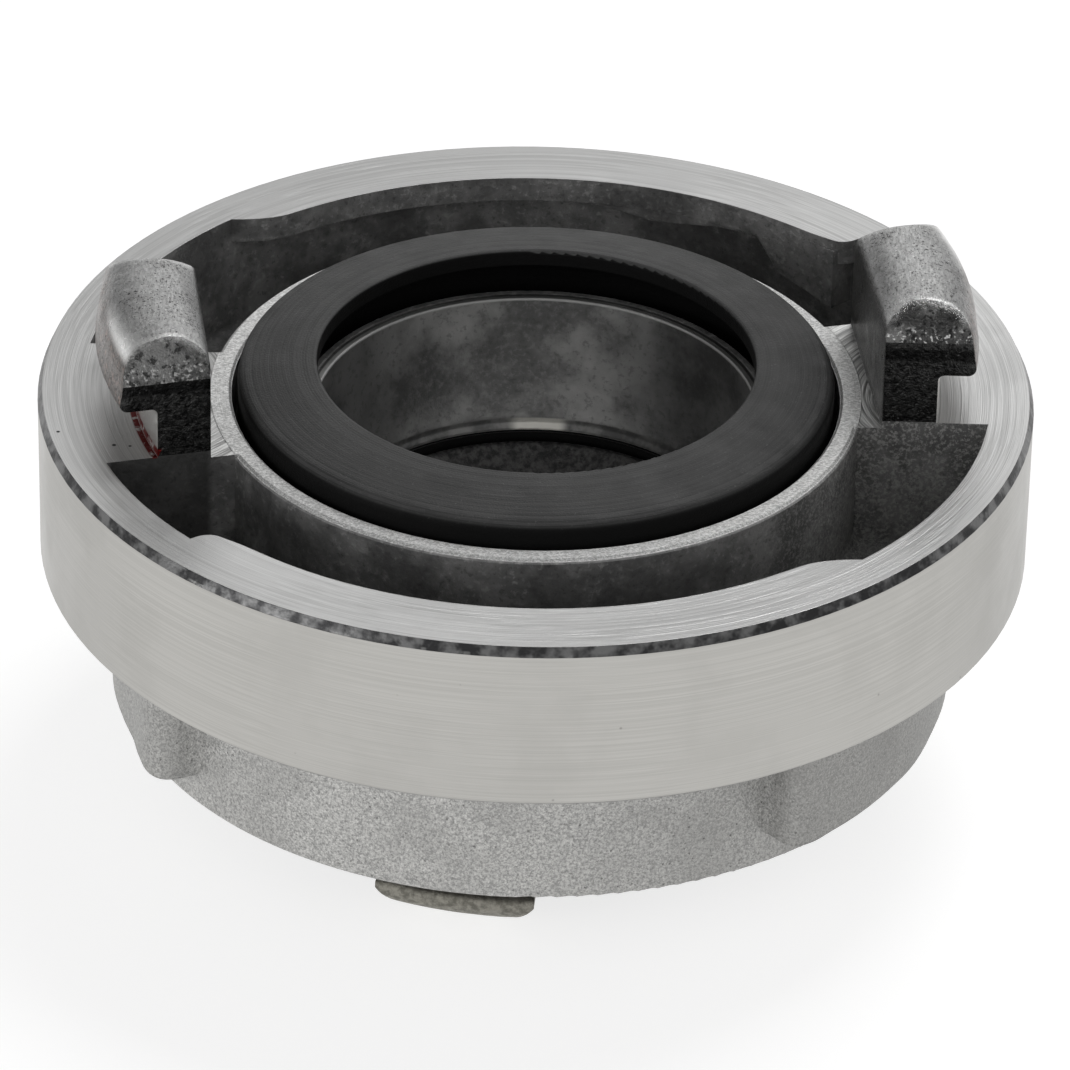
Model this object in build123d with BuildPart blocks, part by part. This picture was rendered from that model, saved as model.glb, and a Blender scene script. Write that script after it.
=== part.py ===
from build123d import *
import os
from math import cos, sin, radians

# Reducing hose coupling of light alloy: two claw couplings of different size, face up
# (large) and face down (small), screwed together back to back round one waterway.
# Millimetres, +Z up, waterway axis on Z, origin on the floor under the small claws.

# ---------------------------------------------------------------- driving dimensions
# heights of the whole
small_claw_h = 10.0          # small claws stand this far out of the small face
small_ring_h = 15.8
large_ring_h = 17.5
small_face_z = small_claw_h
mid_z = small_face_z + small_ring_h
large_face_z = mid_z + large_ring_h

# screwed joint between the halves, heights from mid_z
spigot_r = 24.4              # male thread of the large half, drawn plain
socket_r = 24.5              # female thread of the small half, drawn plain
collar_r, collar_up = 28.6, 4.9      # threaded collar of the small half
recess_r, recess_up = 28.7, 5.0      # its seat in the large half
spigot_down = 0.0            # the spigot ends this far below mid_z
gasket_t = 1.1

# large half: radii, and heights out of its own face
L_ring_r, L_pocket_r, L_lip_r = 49.15, 44.8, 41.9
L_floor = -13.5
L_neck_r, L_groove_r, L_rim = 32.2, 30.05, -0.7
L_collar_r, L_collar_top, L_groove_floor = 23.4, -2.8, -9.0
L_bore_top_r, L_bore_low_r, L_bore_end_r = 21.8, 20.85, 20.3
L_stem_in, L_stem_out, L_hook_r, L_hook_h = 33.0, 39.75, 43.4, 5.4
L_claw_az = 7.2
L_web_r, L_web_w, L_web_slope = 31.0, 9.97, 0.132   # half width at that radius, and its growth

# small half: the same, heights out of its own face
S_ring_r, S_pocket_r, S_lip_r = 41.7, 35.6, 32.7
S_floor = -12.0
S_neck_r, S_groove_r, S_rim = 25.2, 23.2, -0.7
S_collar_r, S_collar_top, S_groove_floor = 18.0, -2.8, -8.0
S_bore_r = 16.5
S_stem_in, S_stem_out, S_hook_r, S_hook_h = 26.0, 31.0, 34.4, 5.2
S_claw_az = 102.0            # as seen from below
S_web_r, S_web_w, S_web_slope = 25.0, 6.85, 0.132

# cam lip, in degrees from a claw's centre line
lip_start, lip_end = 36.1, 126.4
lip_t = 2.65                 # thickness where the opposite claw slides in

# spanner lugs on the small ring: (azimuth, radius) seen from above, each repeated half a turn on
lug_bottom, lug_top = -3.8, -15.3
lug_edge = [(303.2, 41.2), (303.9, 43.0), (304.9, 45.2), (306.6, 45.6), (310.4, 45.3),
            (315.6, 44.9), (319.7, 44.5), (328.0, 44.0), (333.2, 43.5), (338.3, 43.0),
            (343.4, 42.7), (350.0, 42.3), (358.0, 42.0), (8.0, 42.2), (15.8, 42.9),
            (20.8, 43.3), (25.7, 43.75), (28.1, 44.05), (30.4, 44.6), (32.6, 45.1),
            (35.5, 45.6), (37.6, 45.2), (39.0, 43.2), (39.8, 41.2)]


def polar(r, a):
    return (r * cos(radians(a)), r * sin(radians(a)))


def section(az, z, up=1):
    """Upright plane through the axis at this azimuth: x outward, y out of the face."""
    out = Vector(cos(radians(az)), up * sin(radians(az)), 0)
    return Plane(origin=(0, 0, z), x_dir=out, z_dir=out.cross(Vector(0, 0, up)))


def plan(az, z, up=1):
    """Plane parallel to a face, x along this azimuth, normal out of the face."""
    out = Vector(cos(radians(az)), up * sin(radians(az)), 0)
    return Plane(origin=(0, 0, z), x_dir=out, z_dir=(0, 0, up))


def end_wall(az, z, r, w, slope, side, up=1):
    """Plane square to one end wall of a claw: x out through the wall, y out of the face."""
    base = plan(az, z, up)
    foot = base.from_local_coords(Vector(r, side * w, 0))
    out = base.from_local_coords(Vector(-slope, side, 0)) - base.origin
    return Plane(origin=foot, x_dir=out, z_dir=out.cross(base.z_dir))


def half_width(x, r, w, slope):
    return w + (x - r) * slope


def claw(az, z, up, outline, foot, facets):
    """Hooked claw: turned outside, flat inside and at its end walls, with a sloping facet at
    each end of the domed head."""
    r, w, slope = foot
    inside, outside, hook, nose, root = outline
    top = inside[-1]
    with BuildPart() as one:
        with BuildSketch(section(az - 26, z, up)):
            with BuildLine():
                Polyline((inside[0][0] - 4, -2), (inside[0][0] - 4, top[1]), top)
                Spline(top, *outside, tangents=((1, 0), (0.12, -1)))
                Line(outside[-1], hook)
                TangentArc(hook, nose, tangent=(0, -1))
                Line(nose, (root[0] + 0.6, nose[1]))
                RadiusArc((root[0] + 0.6, nose[1]), (root[0], nose[1] - 0.6), -0.6)
                Polyline((root[0], nose[1] - 0.6), (root[0], -2), (inside[0][0] - 4, -2))
            make_face()
        revolve(axis=Axis.Z, revolution_arc=up * 52)
        with BuildSketch(section(az, z, up)):
            with BuildLine():
                Line((inside[0][0], -3), inside[0])
                Spline(*inside, tangents=((0.12, 1), (1, 0)))
                Polyline(top, (48, top[1]), (48, -3), (inside[0][0], -3))
            make_face()
        extrude(amount=15, both=True, mode=Mode.INTERSECT)
        with BuildSketch(plan(az, z - up * 3, up)):
            with BuildLine():
                Polyline(*[(x, s * half_width(x, r, w, slope))
                           for x, s in ((r - 5, 1), (48, 1), (48, -1), (r - 5, -1))], close=True)
            make_face()
        extrude(amount=20, mode=Mode.INTERSECT)
        at = outline[0][-1][0]
        for side, height, rise in facets:
            with BuildSketch(end_wall(az, z, at, half_width(at, r, w, slope), slope, side, up)):
                with BuildLine():
                    Polyline((1, height - rise), (-6.5, height + 6.5 * rise), (-6.5, 30), (1, 30), close=True)
                make_face()
            extrude(amount=12, both=True, mode=Mode.SUBTRACT)
    return one.part


def cam_lip(az, z, up, r_lip, r_pocket, cam):
    """Lip that the opposite claw hooks under: a plate with a blunt step at its start and a
    run-out at its end, a low cam on its underside, and the stop block beside the step."""
    p, q, back = r_pocket + 0.15, r_lip, r_pocket + 1.8
    d = r_pocket - r_lip
    a, b = lip_start, lip_end
    with BuildPart() as lip:
        with BuildSketch(plan(az, z - up * lip_t, up)):
            with BuildLine():
                Spline(polar(p, a - 0.2), polar(q + 0.586 * d, a + 0.15), polar(q + 0.293 * d, a + 1.0),
                       polar(q + 0.155 * d, a + 2.5), polar(q + 0.034 * d, a + 5.4), polar(q, a + 9.9),
                       tangents=(polar(1, a + 172), polar(1, a + 100)))
                ThreePointArc(polar(q, a + 9.9), polar(q, (a + b) / 2), polar(q, b - 8.9))
                Spline(polar(q, b - 8.9), polar(q + 0.103 * d, b - 4.4), polar(q + 0.362 * d, b - 2.1),
                       polar(q + 0.724 * d, b - 0.1), polar(p, b + 1.2),
                       tangents=(polar(1, b + 81), polar(1, b + 46)))
                Line(polar(p, b + 1.2), polar(back, b + 1.2))
                ThreePointArc(polar(back, b + 1.2), polar(back, (a + b) / 2), polar(back, a - 0.2))
                Line(polar(back, a - 0.2), polar(p, a - 0.2))
            make_face()
        extrude(amount=lip_t)
        for (a0, t0), (a1, t1) in zip(cam, cam[1:]):
            for s, t in ((a0, t0), (a1, t1)):
                with BuildSketch(section(az + s, z, up)):
                    with BuildLine():
                        Polyline((q + 0.1, -1), (q + 0.1, -t), (back - 0.1, -t), (back - 0.1, -1), close=True)
                    make_face()
            loft(ruled=True)
    return lip.part


# ================================================================ large half
large_outline = [[(L_stem_in, 9.4), (33.65, 10.8), (35.2, 11.9), (37.7, 12.35)],
                 [(40.0, 12.05), (41.7, 11.2), (42.8, 9.5), (43.2, 7.4)],
                 (L_hook_r, 6.2), (42.6, L_hook_h), (L_stem_out, 0)]
large_foot = (L_web_r, L_web_w, L_web_slope)
# the heads are dressed by hand: each end has its own facet (side, height of its foot, slope)
right_claw = claw(L_claw_az, large_face_z, 1, large_outline, large_foot, ((1, 8.4, 1.0), (-1, 9.0, 1.2)))
left_claw = claw(L_claw_az + 180, large_face_z, 1, large_outline, large_foot, ((1, 8.2, 2.3), (-1, 7.95, 1.0)))
large_lip = cam_lip(L_claw_az, large_face_z, 1, L_lip_r, L_pocket_r,
                    [(82.5, 2.5), (76, 2.75), (71, 3.3), (66.8, 3.9), (63, 3.7), (57, 3.0), (50.8, 2.6),
                     (47, 6.1), (42, 6.9), (37.2, 7.6)])

with BuildPart() as large_half:
    with BuildSketch(section(0, large_face_z)) as large_section:
        with BuildLine():
            Line((L_bore_end_r, -large_ring_h - spigot_down), (L_bore_end_r, -large_ring_h + 0.15))
            Spline((L_bore_end_r, -large_ring_h + 0.15), (L_bore_end_r + 0.28, -large_ring_h + 0.6),
                   (L_bore_low_r, -large_ring_h + 1.5), tangents=((0, 1), (0.07, 1)))
            Polyline((L_bore_low_r, -large_ring_h + 1.5), (L_bore_top_r, L_collar_top - 0.12), (L_bore_top_r + 0.12, L_collar_top),
                     (L_collar_r, L_collar_top), (L_collar_r, L_groove_floor),
                     (L_groove_r, L_groove_floor), (L_groove_r, L_rim - 0.3), (L_groove_r + 0.3, L_rim),
                     (L_neck_r - 0.45, L_rim), (L_neck_r, L_rim - 0.45), (L_neck_r, L_floor),
                     (L_pocket_r, L_floor), (L_pocket_r, 0), (L_ring_r - 0.45, 0), (L_ring_r, -0.95),
                     (L_ring_r - 0.05, -large_ring_h + 0.3), (L_ring_r - 0.35, -large_ring_h),
                     (recess_r, -large_ring_h), (recess_r, recess_up - large_ring_h),
                     (spigot_r, recess_up - large_ring_h), (spigot_r, -large_ring_h - spigot_down + 0.3),
                     (spigot_r - 0.3, -large_ring_h - spigot_down), (L_bore_end_r, -large_ring_h - spigot_down))
        make_face()
        fillet([v for v in large_section.vertices() if abs(v.Y - L_floor) < 0.01], 1.2)
    revolve(axis=Axis.Z)
    # webs that carry the claws across from neck to ring
    for turn in (0, 180):
        with BuildSketch(plan(L_claw_az + turn, large_face_z + L_floor - 1)):
            with BuildLine():
                Polyline(*[(x, s * half_width(x, L_web_r, L_web_w, L_web_slope))
                           for x, s in ((20, 1), (50, 1), (50, -1), (20, -1))], close=True)
            make_face()
            Circle(L_pocket_r + 1.2, mode=Mode.INTERSECT)
            Circle(L_neck_r - 1.2, mode=Mode.SUBTRACT)
        extrude(amount=1 - L_floor)
    # the webs are milled down to the rim inside the claws' stems
    with BuildSketch(plan(L_claw_az, large_face_z + L_rim)):
        Rectangle(2 * L_stem_in, 30)
    extrude(amount=5, mode=Mode.SUBTRACT)
    add(right_claw)
    add(left_claw)
    for turn in (0, 180):
        add(large_lip.rotate(Axis.Z, turn))

with BuildPart() as large_seal:
    with BuildSketch(section(0, large_face_z)):
        with BuildLine():
            Polyline((L_collar_r, L_groove_floor), (L_groove_r, L_groove_floor), (L_groove_r, -6.3), (29.45, -5.7), (29.45, 0.5))
            TangentArc((29.45, 0.5), (28.35, 1.7), tangent=(0, 1))
            Spline((28.35, 1.7), (25.4, 2.4), (22.0, 2.88), tangents=((-1, 0.22), (-1, 0.1)))
            ThreePointArc((22.0, 2.88), (21.72, 2.77), (21.6, 2.5))
            Line((21.6, 2.5), (21.6, 1.2))
            Spline((21.6, 1.2), (24.6, 0.2), (25.7, -2.0), tangents=((1, -0.1), (0, -1)))
            Polyline((25.7, -2.0), (25.7, -5.2), (L_collar_r, -6.3), (L_collar_r, L_groove_floor))
        make_face()
    revolve(axis=Axis.Z)

# ================================================================ joint gasket
with BuildPart() as joint_gasket:
    with BuildSketch(Plane.XY.offset(mid_z - spigot_down)):
        Circle(spigot_r)
        Circle(20.1, mode=Mode.SUBTRACT)
    extrude(amount=-gasket_t)

# ================================================================ small half
small_claw = claw(S_claw_az, small_face_z, -1,
                  [[(S_stem_in, 7.6), (26.6, 8.75), (27.8, 9.7), (29.3, small_claw_h)],
                   [(31.3, 9.1), (33.0, 7.95), (34.1, 6.9), (S_hook_r, 6.1)],
                   (S_hook_r, 5.6), (34.0, S_hook_h), (S_stem_out, 0)],
                  (S_web_r, S_web_w, S_web_slope), ((1, 6.0, 1.15), (-1, 6.0, 1.15)))
small_lip = cam_lip(S_claw_az, small_face_z, -1, S_lip_r, S_pocket_r,
                    [(82.5, 2.5), (76, 2.75), (71, 3.3), (66.8, 3.9), (63, 3.7), (57, 3.0), (50.8, 2.6),
                     (47, 5.6), (42, 6.3), (37.4, 6.9)])
socket_floor = -small_ring_h + spigot_down + gasket_t

with BuildPart() as small_half:
    with BuildSketch(section(0, small_face_z, -1)) as small_section:
        with BuildLine():
            Polyline((19.6, socket_floor), (S_bore_r, socket_floor + 3.4), (S_bore_r, S_collar_top - 0.3),
                     (S_bore_r + 0.3, S_collar_top), (S_collar_r, S_collar_top), (S_collar_r, S_groove_floor),
                     (S_groove_r, S_groove_floor), (S_groove_r, S_rim - 0.3), (S_groove_r + 0.3, S_rim),
                     (S_neck_r - 0.4, S_rim), (S_neck_r, S_rim - 0.4), (S_neck_r, S_floor),
                     (S_pocket_r, S_floor), (S_pocket_r, 0), (S_ring_r, 0), (S_ring_r, -small_ring_h),
                     (collar_r, -small_ring_h), (collar_r, -small_ring_h - collar_up + 0.3),
                     (collar_r - 0.3, -small_ring_h - collar_up), (socket_r, -small_ring_h - collar_up),
                     (socket_r, socket_floor), close=True)
        make_face()
        fillet([v for v in small_section.vertices() if abs(v.Y - S_floor) < 0.01], 1.2)
        fillet([v for v in small_section.vertices()
                if abs(v.Y) < 0.01 and v.X > S_ring_r - 0.01], 0.7)
    revolve(axis=Axis.Z)
    for turn in (0, 180):
        with BuildSketch(plan(S_claw_az + turn, small_face_z - S_floor + 1, -1)):
            with BuildLine():
                Polyline(*[(x, s * half_width(x, S_web_r, S_web_w, S_web_slope))
                           for x, s in ((15, 1), (45, 1), (45, -1), (15, -1))], close=True)
            make_face()
            Circle(S_pocket_r + 1.2, mode=Mode.INTERSECT)
            Circle(S_neck_r - 1.2, mode=Mode.SUBTRACT)
        extrude(amount=1 - S_floor)
    with BuildSketch(plan(S_claw_az, small_face_z - S_rim, -1)):
        Rectangle(2 * S_stem_in, 24)
    extrude(amount=5, mode=Mode.SUBTRACT)
    for turn in (0, 180):
        add(small_claw.rotate(Axis.Z, turn))
        add(small_lip.rotate(Axis.Z, turn))
    for turn in (0, 180):
        with BuildSketch(plan(turn, small_face_z - lug_bottom)):
            with BuildLine():
                Spline(*[polar(r, a) for a, r in lug_edge])
                Line(polar(lug_edge[-1][1], lug_edge[-1][0]), polar(40, lug_edge[-1][0]))
                ThreePointArc(polar(40, lug_edge[-1][0]), polar(40, -8.5), polar(40, lug_edge[0][0]))
                Line(polar(40, lug_edge[0][0]), polar(lug_edge[0][1], lug_edge[0][0]))
            make_face()
        extrude(amount=lug_bottom - lug_top)

with BuildPart() as small_seal:
    with BuildSketch(section(0, small_face_z, -1)):
        with BuildLine():
            Polyline((S_collar_r, S_groove_floor), (S_groove_r, S_groove_floor), (S_groove_r, -5.6), (22.65, -5.0), (22.65, 0.5))
            TangentArc((22.65, 0.5), (21.6, 1.6), tangent=(0, 1))
            Spline((21.6, 1.6), (19.4, 2.2), (17.5, 2.6), tangents=((-1, 0.22), (-1, 0.1)))
            ThreePointArc((17.5, 2.6), (16.75, 2.35), (16.6, 1.8))
            Line((16.6, 1.8), (16.7, 1.3))
            Spline((16.7, 1.3), (18.7, 0.2), (19.7, -1.6), tangents=((1, -0.2), (0, -1)))
            Polyline((19.7, -1.6), (19.7, -4.4), (S_collar_r, -5.3), (S_collar_r, S_groove_floor))
        make_face()
    revolve(axis=Axis.Z)

# ================================================================ pieces
os.makedirs("parts", exist_ok=True)
pieces = {"large_half": large_half, "small_half": small_half, "joint_gasket": joint_gasket,
          "large_seal": large_seal, "small_seal": small_seal}
for name, piece in pieces.items():
    piece.part.label = name
    export_step(piece.part, f"parts/{name}.step")
    print(name, len(piece.part.solids()), round(piece.part.volume), piece.part.is_valid)
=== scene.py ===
import math

import bpy
from mathutils import Matrix, Vector

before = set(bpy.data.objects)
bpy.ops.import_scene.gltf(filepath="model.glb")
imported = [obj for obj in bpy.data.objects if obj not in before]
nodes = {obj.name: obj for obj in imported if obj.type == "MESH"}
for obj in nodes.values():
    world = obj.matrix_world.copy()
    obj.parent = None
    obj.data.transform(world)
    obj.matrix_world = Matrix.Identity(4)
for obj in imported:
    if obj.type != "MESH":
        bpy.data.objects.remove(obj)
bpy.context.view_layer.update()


# ------------------------------------------------------------------ node helpers
class Net:
    """Short words for building a shader out of maths on the piece's own coordinates, in millimetres."""

    def __init__(self, name):
        self.mat = bpy.data.materials.new(name)
        self.mat.use_nodes = True
        self.t = self.mat.node_tree
        self.t.nodes.clear()
        self.out = self.t.nodes.new("ShaderNodeOutputMaterial")
        coord = self.t.nodes.new("ShaderNodeTexCoord")
        scale = self.t.nodes.new("ShaderNodeVectorMath")
        scale.operation = "SCALE"
        self.t.links.new(coord.outputs["Object"], scale.inputs[0])
        scale.inputs["Scale"].default_value = 1000.0
        self.p = scale.outputs[0]
        sep = self.t.nodes.new("ShaderNodeSeparateXYZ")
        self.t.links.new(self.p, sep.inputs[0])
        self.x, self.y, self.z = sep.outputs
        self.r = self.m("SQRT", self.m("ADD", self.m("MULTIPLY", self.x, self.x), self.m("MULTIPLY", self.y, self.y)))
        geo = self.t.nodes.new("ShaderNodeNewGeometry")
        nsep = self.t.nodes.new("ShaderNodeSeparateXYZ")
        self.t.links.new(geo.outputs["Normal"], nsep.inputs[0])
        self.nx, self.ny, self.nz = nsep.outputs
        self.point = geo.outputs["Pointiness"]

    def put(self, socket, value):
        if isinstance(value, (int, float)):
            socket.default_value = value
        elif isinstance(value, tuple):
            socket.default_value = value if len(value) == 4 or len(socket.default_value) == 3 else (*value, 1.0)
        else:
            self.t.links.new(value, socket)

    def m(self, op, a, b=None, c=None, clamp=False):
        n = self.t.nodes.new("ShaderNodeMath")
        n.operation, n.use_clamp = op, clamp
        for i, v in enumerate((a, b, c)):
            if v is not None:
                self.put(n.inputs[i], v)
        return n.outputs[0]

    def add(self, *v):
        out = v[0]
        for x in v[1:]:
            out = self.m("ADD", out, x)
        return out

    def mul(self, *v):
        out = v[0]
        for x in v[1:]:
            out = self.m("MULTIPLY", out, x)
        return out

    def inv(self, a):
        return self.m("SUBTRACT", 1.0, a, clamp=True)

    def step(self, v, a, b, lo=0.0, hi=1.0):
        """Smooth change from lo at a to hi at b."""
        n = self.t.nodes.new("ShaderNodeMapRange")
        n.interpolation_type = "SMOOTHSTEP"
        if a > b:
            a, b, lo, hi = b, a, hi, lo
        self.put(n.inputs["Value"], v)
        n.inputs["From Min"].default_value, n.inputs["From Max"].default_value = a, b
        n.inputs["To Min"].default_value, n.inputs["To Max"].default_value = lo, hi
        return n.outputs["Result"]

    def band(self, v, a, b, soft=0.1):
        return self.mul(self.step(v, a - soft, a + soft), self.step(v, b + soft, b - soft))

    def vec(self, x=0.0, y=0.0, z=0.0):
        n = self.t.nodes.new("ShaderNodeCombineXYZ")
        for i, v in enumerate((x, y, z)):
            self.put(n.inputs[i], v)
        return n.outputs[0]

    def noise(self, scale, detail=4.0, rough=0.55, at=None, distort=0.0, kind="FBM"):
        n = self.t.nodes.new("ShaderNodeTexNoise")
        n.noise_type = kind
        self.put(n.inputs["Vector"], at if at is not None else self.p)
        n.inputs["Scale"].default_value = scale
        n.inputs["Detail"].default_value = detail
        n.inputs["Roughness"].default_value = rough
        n.inputs["Distortion"].default_value = distort
        return n.outputs["Fac"]

    def cells(self, scale, at=None, feature="F1", random=1.0):
        n = self.t.nodes.new("ShaderNodeTexVoronoi")
        n.feature = feature
        self.put(n.inputs["Vector"], at if at is not None else self.p)
        n.inputs["Scale"].default_value = scale
        n.inputs["Randomness"].default_value = random
        return n.outputs["Distance"]

    def mix(self, fac, a, b):
        """Mix of two colours or two numbers."""
        colour = isinstance(a, tuple) or isinstance(b, tuple) or getattr(a, "type", "") == "RGBA" or getattr(b, "type", "") == "RGBA"
        n = self.t.nodes.new("ShaderNodeMix")
        n.data_type = "RGBA" if colour else "FLOAT"
        i = (6, 7, 2) if colour else (2, 3, 0)
        self.put(n.inputs[0], fac)
        self.put(n.inputs[i[0]], (*a, 1.0) if isinstance(a, tuple) and len(a) == 3 else a)
        self.put(n.inputs[i[1]], (*b, 1.0) if isinstance(b, tuple) and len(b) == 3 else b)
        return n.outputs[i[2]]

    def tint(self, colour, fac):
        """colour times the number fac."""
        n = self.t.nodes.new("ShaderNodeVectorMath")
        n.operation = "SCALE"
        if isinstance(colour, tuple):
            n.inputs[0].default_value = colour[:3]
        else:
            self.t.links.new(colour, n.inputs[0])
        self.put(n.inputs["Scale"], fac)
        return n.outputs[0]

    def bump(self, height, strength, distance, normal=None):
        n = self.t.nodes.new("ShaderNodeBump")
        n.inputs["Strength"].default_value = strength
        n.inputs["Distance"].default_value = distance
        self.put(n.inputs["Height"], height)
        if normal is not None:
            self.t.links.new(normal, n.inputs["Normal"])
        return n.outputs["Normal"]

    def rounded(self, radius):
        """Normal of an edge rounded by this radius, in metres."""
        n = self.t.nodes.new("ShaderNodeBevel")
        n.samples = 3
        self.put(n.inputs["Radius"], radius)
        return n.outputs["Normal"]

    def surface(self, color, rough, metal, normal=None, aniso=None, tangent=None, spec=None):
        n = self.t.nodes.new("ShaderNodeBsdfPrincipled")
        self.put(n.inputs["Base Color"], color)
        self.put(n.inputs["Roughness"], rough)
        self.put(n.inputs["Metallic"], metal)
        if spec is not None:
            self.put(n.inputs["Specular IOR Level"], spec)
        if normal is not None:
            self.t.links.new(normal, n.inputs["Normal"])
        if aniso is not None:
            self.put(n.inputs["Anisotropic"], aniso)
            tan = self.t.nodes.new("ShaderNodeTangent")
            tan.direction_type, tan.axis = "RADIAL", "Z"
            self.t.links.new(tan.outputs[0], n.inputs["Tangent"])
        self.t.links.new(n.outputs[0], self.out.inputs["Surface"])
        return n


# ------------------------------------------------------------------ large half: turned casting
DOTS = ((-40.92, -13.51, 0.26), (-39.36, -13.64, 0.20), (-46.5, -11.2, 0.22))    # small nicks in the ring: x, y, radius


def large_alloy():
    n = Net("turned_alloy_worn")
    h = n.m("SUBTRACT", n.z, 43.3)
    up = n.step(n.nz, 0.80, 0.95)
    ends = n.mul(n.step(n.m("ABSOLUTE", n.ny), 0.62, 0.85), n.step(n.nz, 0.30, 0.12))
    slant = n.mul(n.step(n.m("ABSOLUTE", n.ny), 0.30, 0.50), n.inv(ends), n.step(h, 7.0, 7.6))
    bn = n.t.nodes.new("ShaderNodeSeparateXYZ")
    soft = n.rounded(n.add(n.mul(n.step(h, 0.04, 0.12), 0.00130), 0.00012))
    n.t.links.new(soft, bn.inputs[0])
    turn = n.m("ABSOLUTE", bn.outputs["Y"])
    ridge_highlight = n.mul(n.band(turn, 0.16, 0.62, 0.10), n.step(h, 9.8, 10.8))
    # zones
    claw = n.step(h, 0.04, 0.12)
    stem = n.mul(claw, n.step(h, 5.5, 4.9))
    ring_top = n.mul(n.band(h, -0.05, 0.05, 0.03), n.inv(claw), up)
    web_low = n.mul(n.band(h, -0.75, -0.65, 0.04), n.step(n.r, 32.0, 32.25), up)
    web_top = web_low
    rim = n.mul(n.band(h, -0.98, -0.3, 0.05), n.step(n.r, 32.3, 32.15), n.inv(web_low))
    outer = n.mul(n.step(n.r, 48.85, 49.0), n.step(h, -0.75, -0.95))
    chamfer = n.mul(n.step(n.r, 48.6, 48.72), n.step(h, -0.99, -0.93), n.inv(ring_top))
    bore = n.mul(n.step(n.r, 22.9, 22.6), n.inv(claw))
    bore_lip = n.mul(n.band(h, -3.05, -2.7, 0.05), n.step(n.r, 22.4, 22.3))
    bore_end = n.mul(n.band(h, -17.32, -16.25, 0.12), bore)
    bore_foot = n.mul(n.step(h, -17.30, -17.38), n.step(n.r, 22.9, 22.6))
    machined = n.m("MAXIMUM", n.m("MAXIMUM", ring_top, web_low), n.m("MAXIMUM", outer, chamfer))
    # turning marks, uneven and a little off round, and the grain of the casting
    drift = n.noise(0.05, 0.0)
    rr = n.add(n.r, n.mul(n.noise(0.06, 0.0), 0.5))
    fine = n.noise(1.0, 2.0, 0.8, at=n.vec(n.mul(rr, 6.0), n.mul(drift, 3.0), 0.0))
    groove = n.noise(1.0, 2.0, 0.6, at=n.vec(n.mul(rr, 2.6), 3.0, n.mul(drift, 2.0)))
    side = n.noise(1.0, 2.0, 0.8, at=n.vec(n.mul(n.z, 7.0), n.mul(drift, 2.0), 7.0))
    arcs_x = n.m("SUBTRACT", n.m("ABSOLUTE", n.x), 44.0)
    arc = n.m("SQRT", n.add(n.mul(arcs_x, arcs_x), n.mul(n.y, n.y)))
    mill = n.noise(1.0, 2.0, 0.7, at=n.vec(n.mul(arc, 3.2), 11.0, n.mul(drift, 6.0)))
    skin = n.noise(0.30, 4.0, 0.62)
    cast = n.noise(1.5, 3.0, 0.66)
    grain = n.noise(5.0, 1.0, 0.72)
    cloud = n.noise(0.11, 4.0, 0.6)
    sand = n.noise(1.0, 2.0, 0.78, at=n.vec(n.mul(n.x, 3.4), n.mul(n.y, 6.5), n.mul(n.z, 6.0)))
    pits = n.m("MAXIMUM", n.step(n.cells(1.9), 0.20, 0.08), n.mul(n.step(n.noise(3.4, 3.0, 0.6), 0.60, 0.68), 0.8))
    specks = n.mul(n.step(n.noise(3.2, 2.0, 0.6), 0.61, 0.66), n.step(skin, 0.44, 0.52))
    hair = n.noise(1.0, 2.0, 0.7, at=n.vec(n.mul(n.x, 4.2), n.mul(n.y, 1.0), n.mul(n.z, 4.2)))
    streak = n.noise(1.0, 3.0, 0.7, at=n.vec(n.mul(n.x, 3.6), n.mul(n.y, 0.9), n.mul(n.z, 3.6)))
    # colours
    bright = n.mix(n.step(fine, 0.30, 0.70), (0.49, 0.49, 0.485), (0.65, 0.65, 0.644))
    bright = n.mix(n.mul(n.step(groove, 0.58, 0.68), 0.45), bright, (0.36, 0.36, 0.355))
    wall = n.mix(n.step(side, 0.30, 0.70), (0.415, 0.408, 0.388), (0.480, 0.472, 0.450))
    wall = n.mix(n.mul(n.step(cloud, 0.46, 0.66), 0.22), wall, (0.385, 0.378, 0.358))
    wall = n.mix(n.mul(n.step(n.cells(0.22), 0.045, 0.02), 0.6), wall, (0.22, 0.21, 0.20))
    dark = n.mix(n.step(skin, 0.36, 0.64), (0.19, 0.19, 0.188), (0.30, 0.298, 0.294))
    dark = n.mix(n.mul(n.step(cast, 0.54, 0.68), 0.55), dark, (0.46, 0.458, 0.45))
    dark = n.mix(n.mul(n.step(cast, 0.44, 0.32), 0.55), dark, (0.09, 0.09, 0.09))
    # painted shade: cast walls facing sideways or down are darkened
    dark = n.mix(n.mul(n.step(n.nz, 0.5, 0.1), n.step(cloud, 0.56, 0.40), 0.6), dark, (0.075, 0.075, 0.074))
    # painted glints on up-facing floors on the right, and painted light patches in the right pocket
    dark = n.mix(n.mul(n.step(n.nz, 0.7, 0.95), n.step(grain, 0.55, 0.66), n.step(n.x, 20.0, 32.0), 0.8), dark, (0.66, 0.655, 0.64))
    right = n.mul(n.step(n.x, 18.0, 30.0), n.step(n.y, 6.0, -2.0))
    dark = n.mix(n.mul(right, n.step(n.noise(2.7, 4.0, 0.75), 0.48, 0.60), 0.65), dark, (0.52, 0.515, 0.50))
    web_side = n.mul(n.step(n.m("ABSOLUTE", n.ny), 0.8, 0.93), n.step(n.m("ABSOLUTE", n.x), 31.0, 32.0), n.step(n.r, 33.0, 33.6), n.step(n.r, 44.6, 44.2))
    # painted shade: the side walls of the webs on the left are darkened almost to black
    dark = n.mix(n.mul(web_side, n.step(n.x, 0.5, -0.5), 0.75), dark, (0.035, 0.035, 0.034))
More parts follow.
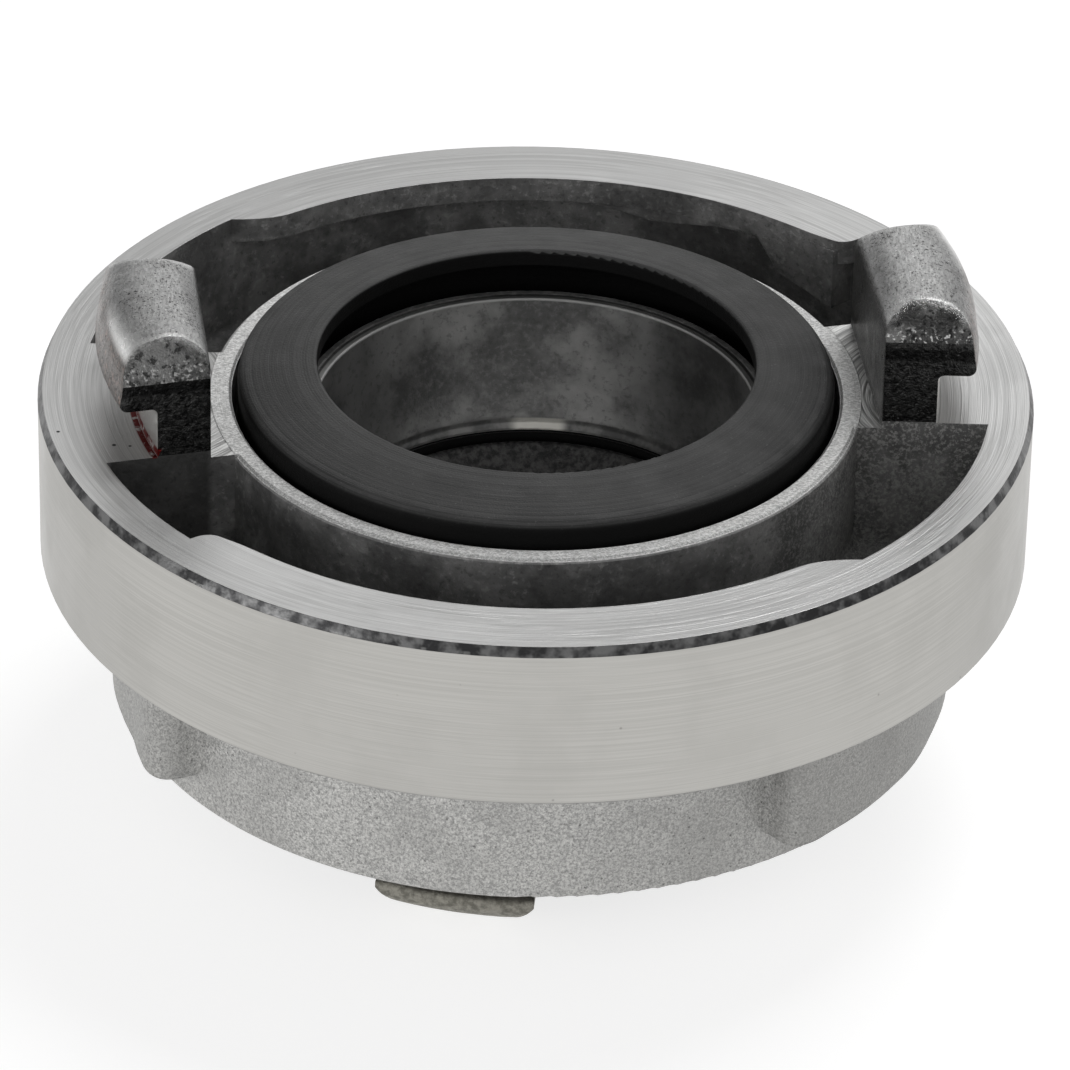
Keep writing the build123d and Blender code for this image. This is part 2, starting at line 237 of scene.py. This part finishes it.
    # painted shade across each claw head: darker at the inner and outer edges, and the left claw darker than the right
    painted_dome_shade = n.mul(n.step(n.r, 33.4, 35.8, 0.22, 1.0), n.step(n.r, 37.5, 42.5, 1.0, 0.42))
    head = n.mix(n.step(streak, 0.34, 0.66), (0.42, 0.42, 0.417), (0.64, 0.64, 0.634))
    head = n.mix(n.mul(n.step(skin, 0.50, 0.64), 0.35), head, (0.27, 0.262, 0.256))
    head = n.mix(n.mul(n.step(hair, 0.60, 0.70), 0.5), head, (0.92, 0.92, 0.91))
    head = n.tint(head, n.mul(painted_dome_shade, n.step(n.x, -10.0, 10.0, 0.80, 0.95)))
    head = n.mix(n.mul(n.step(hair, 0.36, 0.30), 0.8), head, (0.05, 0.05, 0.049))
    # painted shade on the outer side of each claw head, with brown cast patches
    outside = n.mul(n.step(n.r, 40.2, 42.0), n.step(n.nz, 0.80, 0.35))
    head = n.mix(n.mul(outside, 0.80), head, (0.100, 0.086, 0.078))
    head = n.mix(n.mul(outside, n.step(cast, 0.52, 0.64), 0.6), head, (0.26, 0.19, 0.165))
    head = n.mix(n.mul(pits, 0.85), head, (0.040, 0.039, 0.038))
    head = n.mix(n.mul(specks, 0.95), head, (0.012, 0.012, 0.012))
    # painted shade: the end faces of the claw heads and the front of the stems are coloured near-black
    painted_shade_face = n.mix(n.step(cast, 0.36, 0.62), (0.012, 0.012, 0.012), (0.052, 0.052, 0.051))
    painted_shade_face = n.mix(n.mul(n.step(grain, 0.60, 0.72), 0.45), painted_shade_face, (0.17, 0.17, 0.168))
    # slanted facets of the heads: painted shade, with painted glints near the ridge
    facet_shade_glints = n.mix(n.step(skin, 0.40, 0.60), (0.07, 0.07, 0.069), (0.20, 0.20, 0.197))
    facet_shade_glints = n.mix(n.mul(n.step(cast, 0.48, 0.38), 0.85), facet_shade_glints, (0.022, 0.022, 0.022))
    facet_shade_glints = n.mix(n.mul(n.step(n.noise(2.4, 2.0, 0.6), 0.54, 0.66), n.step(h, 10.6, 9.4), 0.7, n.step(n.m("ABSOLUTE", n.nx), 0.0, 0.35, 1.0, 0.3)), facet_shade_glints, (0.95, 0.95, 0.94))
    head = n.mix(slant, head, facet_shade_glints)
    # painted highlight along the rounded ridge of each claw head
    head = n.mix(n.mul(ridge_highlight, 0.9), head, (0.95, 0.95, 0.94))
    head = n.mix(ends, head, painted_shade_face)
    head = n.mix(n.mul(n.band(h, 7.0, 8.3, 0.25), ends, n.step(cast, 0.40, 0.52)), head, (0.008, 0.008, 0.008))
    head = n.mix(n.mul(stem, n.step(n.r, 38.5, 39.2, 1.0, 0.0)), head, painted_shade_face)
    head = n.mix(n.mul(stem, n.step(n.r, 39.3, 39.6), n.inv(ends)), head, (0.60, 0.59, 0.57))
    # painted shade on the inner faces of the claw heads
    inner_face_shade = n.mul(n.step(n.m("ABSOLUTE", n.nx), 0.80, 0.95), n.step(n.r, 36.2, 35.0))
    head = n.mix(n.mul(inner_face_shade, 0.85), head, n.mix(n.step(hair, 0.4, 0.6), (0.045, 0.044, 0.043), (0.115, 0.112, 0.11)))
    bore_c = n.mix(n.step(cloud, 0.34, 0.62), (0.22, 0.22, 0.217), (0.52, 0.518, 0.508))
    bore_c = n.mix(n.mul(n.step(cast, 0.50, 0.68), 0.35), bore_c, (0.50, 0.498, 0.49))
    bore_c = n.mix(n.mul(n.step(cast, 0.46, 0.34), 0.35), bore_c, (0.11, 0.11, 0.108))
    # painted shade: the bore darkens towards its left and right sides
    bore_c = n.mix(n.mul(n.step(n.m("ABSOLUTE", n.add(n.x, 2.0)), 7.0, 17.0), 0.62), bore_c, (0.07, 0.07, 0.07))
    glint = n.band(n.x, -2.3, 2.9, 0.7)
    bore_c = n.mix(bore_end, bore_c, n.mix(glint, n.mix(n.step(skin, 0.4, 0.6), (0.16, 0.16, 0.158), (0.30, 0.298, 0.29)), (0.86, 0.84, 0.78)))
    # painted shadow: the bore below its lower edge is coloured near-black
    bore_c = n.mix(bore_foot, bore_c, (0.012, 0.012, 0.012))
    bore_c = n.mix(bore_lip, bore_c, (0.55, 0.55, 0.54))
    colour = n.mix(claw, dark, head)
    colour = n.mix(bore, colour, bore_c)
    colour = n.mix(ring_top, colour, bright)
    colour = n.mix(web_top, colour, n.mix(n.step(mill, 0.36, 0.62), (0.22, 0.22, 0.217), (0.58, 0.58, 0.57)))
    colour = n.mix(rim, colour, n.mix(n.step(sand, 0.34, 0.66), (0.42, 0.42, 0.415), (0.84, 0.84, 0.83)))
    # painted shade: the outer wall darkens towards its left and right sides
    wall = n.tint(wall, n.step(n.m("ABSOLUTE", n.x), 33.0, 48.0, 1.0, 0.84))
    colour = n.mix(outer, colour, wall)
    # painted dark reflection on the chamfer, with painted glints along its lower part
    chamfer_reflection = n.mix(n.step(n.noise(0.45, 3.0, 0.6), 0.40, 0.64), (0.035, 0.035, 0.036), (0.15, 0.15, 0.15))
    chamfer_reflection = n.mix(n.mul(n.step(n.noise(0.30, 4.0, 0.6), 0.57, 0.66), n.step(h, -0.62, -0.76), 0.35), chamfer_reflection, (0.40, 0.40, 0.39))
    colour = n.mix(chamfer, colour, chamfer_reflection)
    # paint trace behind the left claw's stem, and two specks on the ring beside it
    red = n.mul(n.step(n.m("ABSOLUTE", n.m("SUBTRACT", n.add(n.r, n.mul(h, 0.5)), 40.05)), 0.36, 0.22), n.band(n.y, -17.0, -6.5, 0.5), n.step(n.x, -30.0, -31.0), n.band(h, -0.1, 0.9, 0.1), n.step(n.noise(1.3, 4.0, 0.6), 0.34, 0.48))
    colour = n.mix(red, colour, (0.16, 0.012, 0.010))
    for dot_x, dot_y, dot_r in DOTS:
        near = n.m("SQRT", n.add(n.m("POWER", n.m("SUBTRACT", n.x, dot_x), 2.0), n.m("POWER", n.m("SUBTRACT", n.y, dot_y), 2.0)))
        colour = n.mix(n.mul(n.step(near, dot_r, dot_r * 0.6), ring_top), colour, (0.03, 0.03, 0.03))
    metal = n.mix(machined, n.mix(claw, 0.45, 0.95), 1.0)
    metal = n.mix(rim, metal, 0.75)
    metal = n.mix(bore, metal, 0.85)
    rough = n.mix(machined, n.mix(claw, n.mix(n.step(cast, 0.3, 0.7), 0.50, 0.66), n.mix(n.step(skin, 0.3, 0.7), 0.26, 0.38)), n.mix(n.step(cloud, 0.3, 0.7), 0.30, 0.38))
    rough = n.mix(bore, rough, n.mix(n.step(cloud, 0.35, 0.65), 0.42, 0.55))
    rough = n.mix(bore_end, rough, 0.40)
    rough = n.mix(rim, rough, 0.55)
    relief = n.mix(claw, n.add(n.mul(skin, 0.30), n.mul(cast, 0.22), n.mul(grain, 0.05)), n.add(n.mul(skin, 0.25), n.mul(streak, 0.10), n.mul(cast, 0.10), n.mul(pits, -0.30), n.mul(specks, -0.16)))
    relief = n.mix(n.mul(claw, n.m("MAXIMUM", slant, ends)), relief, n.add(n.mul(cast, 0.45), n.mul(grain, 0.22)))
    relief = n.mix(ring_top, relief, n.add(n.mul(fine, 0.07), n.mul(groove, 0.03)))
    relief = n.mix(web_top, relief, n.mul(mill, 0.16))
    relief = n.mix(rim, relief, n.add(n.mul(fine, 0.08), n.mul(cast, 0.06)))
    relief = n.mix(outer, relief, n.mul(side, 0.018))
    relief = n.mix(bore, relief, n.add(n.mul(cast, 0.07), n.mul(skin, 0.10)))
    relief = n.mix(chamfer, relief, n.add(n.mul(side, 0.03), n.mul(cast, 0.10)))
    normal = n.bump(relief, 1.0, 0.0005, soft)
    n.surface(colour, rough, metal, normal, aniso=n.mul(machined, 0.5))
    return n.mat


# ------------------------------------------------------------------ small half: blasted casting
def small_alloy():
    n = Net("blasted_alloy_cast")
    h = n.m("SUBTRACT", 10.0, n.z)
    claw = n.step(h, 0.05, 0.3)
    outside = n.step(n.r, 36.0, 36.6)
    cast = n.noise(1.3, 3.0, 0.66)
    grain = n.noise(3.0, 2.0, 0.78)
    speck = n.noise(5.0, 1.0, 0.7)
    cloud = n.noise(0.10, 3.0, 0.6)
    pits = n.step(n.cells(0.9), 0.12, 0.05)
    body = n.mix(n.step(grain, 0.34, 0.66), (0.30, 0.30, 0.292), (0.56, 0.555, 0.54))
    body = n.mix(n.mul(n.step(speck, 0.56, 0.72), 0.5), body, (0.80, 0.79, 0.77))
    body = n.mix(n.mul(n.step(speck, 0.44, 0.30), 0.5), body, (0.15, 0.149, 0.145))
    body = n.mix(n.mul(n.step(cloud, 0.44, 0.66), 0.28), body, (0.27, 0.268, 0.26))
    # painted shade: the small half darkens towards the right
    body = n.mix(n.mul(n.step(n.x, -4.0, 30.0), 0.30), body, (0.19, 0.188, 0.18))
    body = n.mix(n.mul(pits, 0.5), body, (0.10, 0.10, 0.097))
    # painted shadow on the outside just below the large ring
    body = n.mix(n.mul(n.step(n.z, 25.9, 24.6, 1.0, 0.0), outside, 0.6), body, (0.10, 0.10, 0.098))
    # painted shade on the side faces of the lugs
    lug_side_shade = n.mul(n.step(n.r, 42.2, 43.2), n.step(n.m("ABSOLUTE", n.nz), 0.5, 0.2))
    body = n.mix(n.mul(lug_side_shade, 0.25), body, (0.17, 0.168, 0.16))
    cream = n.mix(n.step(cast, 0.35, 0.65), (0.13, 0.125, 0.105), (0.27, 0.26, 0.225))
    cream = n.mix(n.mul(n.step(grain, 0.52, 0.70), 0.5), cream, (0.22, 0.21, 0.18))
    # painted shade on the claws next to the ring face, where they sit under the ring
    cream = n.mix(n.step(h, 5.0, 3.6), cream, (0.10, 0.098, 0.09))
    rough_in = n.mix(n.step(cast, 0.36, 0.64), (0.06, 0.06, 0.06), (0.17, 0.168, 0.165))
    colour = n.mix(n.mul(n.inv(outside), n.inv(claw)), body, rough_in)
    colour = n.mix(claw, colour, cream)
    relief = n.add(n.mul(cast, 0.22), n.mul(grain, 0.20), n.mul(speck, 0.05), n.mul(pits, -0.18))
    normal = n.bump(relief, 1.0, 0.0005, n.rounded(0.0005))
    n.surface(colour, n.mix(n.step(grain, 0.3, 0.7), 0.50, 0.66), n.mix(outside, 0.6, 0.85), normal)
    return n.mat


# ------------------------------------------------------------------ rubber
def rubber():
    n = Net("black_rubber_matt")
    soft = n.noise(0.30, 3.0, 0.6)
    grain = n.noise(5.0, 1.0, 0.7)
    rings = n.noise(1.0, 3.0, 0.75, at=n.vec(n.mul(n.r, 5.0), n.mul(soft, 0.8), n.mul(n.z, 2.0)))
    dust = n.mul(n.step(n.noise(3.4, 4.0, 0.72), 0.60, 0.70), n.step(n.nz, 0.2, 0.9))
    wear = n.mul(n.step(n.noise(0.16, 3.0, 0.5), 0.38, 0.66), n.step(n.nz, 0.3, 0.95))
    colour = n.mix(n.step(rings, 0.32, 0.68), (0.026, 0.026, 0.026), (0.068, 0.068, 0.0675))
    # painted shade: the rubber darkens towards the right
    colour = n.tint(colour, n.step(n.x, 6.0, 26.0, 1.0, 0.62))
    colour = n.mix(n.mul(wear, 0.35), colour, (0.062, 0.062, 0.061))
    # painted shade: side faces of the seals are coloured near-black
    side = n.step(n.nz, 0.75, 0.35)
    colour = n.mix(side, colour, (0.006, 0.006, 0.006))
    colour = n.mix(n.mul(dust, 0.55), colour, (0.13, 0.13, 0.13))
    relief = n.add(n.mul(soft, 0.06), n.mul(grain, 0.10), n.mul(rings, 0.10))
    n.surface(colour, n.mix(n.step(soft, 0.3, 0.7), 0.50, 0.60), 0.0, n.bump(relief, 1.0, 0.0005), spec=n.mix(side, 0.26, 0.08))
    return n.mat


def give(node, material):
    o = nodes[node]
    for i in range(max(1, len(o.material_slots))):
        if i < len(o.material_slots):
            o.material_slots[i].material = material
        else:
            o.data.materials.append(material)


give("large_half", large_alloy())
give("small_half", small_alloy())
black = rubber()
for name in ("joint_gasket", "large_seal", "small_seal"):
    give(name, black)

# ------------------------------------------------------------------ floor, light, camera
bpy.ops.mesh.primitive_plane_add(size=6.0, location=(0, 0, 0))
floor = bpy.context.object
floor.name = "floor"
paper = bpy.data.materials.new("pale_floor")
paper.use_nodes = True
paper.node_tree.nodes["Principled BSDF"].inputs["Base Color"].default_value = (0.45, 0.45, 0.45, 1)
paper.node_tree.nodes["Principled BSDF"].inputs["Roughness"].default_value = 0.9
paper.node_tree.nodes["Principled BSDF"].inputs["Emission Color"].default_value = (1, 1, 1, 1)
paper.node_tree.nodes["Principled BSDF"].inputs["Emission Strength"].default_value = 0.74
floor.data.materials.append(paper)

world = bpy.data.worlds.new("studio")
bpy.context.scene.world = world
world.use_nodes = True
wt = world.node_tree
back = wt.nodes["Background"]
coord = wt.nodes.new("ShaderNodeTexCoord")
sep = wt.nodes.new("ShaderNodeSeparateXYZ")
wt.links.new(coord.outputs["Generated"], sep.inputs[0])


def sky_step(source, a, b, lo, hi):
    n = wt.nodes.new("ShaderNodeMapRange")
    n.interpolation_type = "SMOOTHSTEP"
    wt.links.new(source, n.inputs["Value"])
    n.inputs["From Min"].default_value, n.inputs["From Max"].default_value = a, b
    n.inputs["To Min"].default_value, n.inputs["To Max"].default_value = lo, hi
    return n.outputs["Result"]


def sky_mul(a, b):
    n = wt.nodes.new("ShaderNodeMath")
    n.operation = "MULTIPLY"
    wt.links.new(a, n.inputs[0])
    wt.links.new(b, n.inputs[1])
    return n.outputs[0]


# pale at the horizon, darker overhead, and darkest up to the left
height = sky_step(sep.outputs["Z"], 0.36, 0.95, 0.90, 0.16)
left = sky_step(sep.outputs["X"], -0.80, -0.15, 0.30, 1.0)
low = sky_step(sep.outputs["Z"], 0.10, 0.35, 1.0, 0.0)
keep = wt.nodes.new("ShaderNodeMath")
keep.operation = "MAXIMUM"
wt.links.new(left, keep.inputs[0])
wt.links.new(low, keep.inputs[1])
rightward = sky_step(sep.outputs["X"], 0.25, 0.90, 1.0, 0.74)
wt.links.new(sky_mul(sky_mul(height, keep.outputs[0]), rightward), back.inputs["Color"])
back.inputs["Strength"].default_value = 0.95


def softbox(name, at, size, power, aim=(0, 0, 0.03)):
    data = bpy.data.lights.new(name, "AREA")
    data.shape = "RECTANGLE"
    data.size, data.size_y = size
    data.energy = power
    o = bpy.data.objects.new(name, data)
    bpy.context.scene.collection.objects.link(o)
    o.location = at
    o.rotation_euler = (Vector(aim) - Vector(at)).to_track_quat("-Z", "Y").to_euler()
    return o


softbox("high_back", (0.35, 0.55, 1.25), (0.6, 0.6), 7)
softbox("low_left", (-1.1, -0.75, 0.30), (0.7, 0.5), 4)

cam = bpy.data.objects.new("camera", bpy.data.cameras.new("camera"))
bpy.context.scene.collection.objects.link(cam)
bpy.context.scene.camera = cam
cam.data.sensor_width = 36.0
cam.data.lens = 267.1
pitch, yaw, roll = 0.5493, 0.0003, 0.021
look = Vector((math.sin(yaw) * math.cos(pitch), math.cos(yaw) * math.cos(pitch), -math.sin(pitch)))
right = look.cross(Vector((0, 0, 1))).normalized()
above = right.cross(look)
right2 = math.cos(roll) * right + math.sin(roll) * above
above2 = -math.sin(roll) * right + math.cos(roll) * above
place = Matrix((
    (right2.x, above2.x, -look.x, 0.0),
    (right2.y, above2.y, -look.y, -0.6762),
    (right2.z, above2.z, -look.z, 0.4397),
    (0.0, 0.0, 0.0, 1.0)))
cam.matrix_world = place
cam.data.clip_start, cam.data.clip_end = 0.05, 20.0
bpy.context.scene.view_settings.view_transform = "Standard"
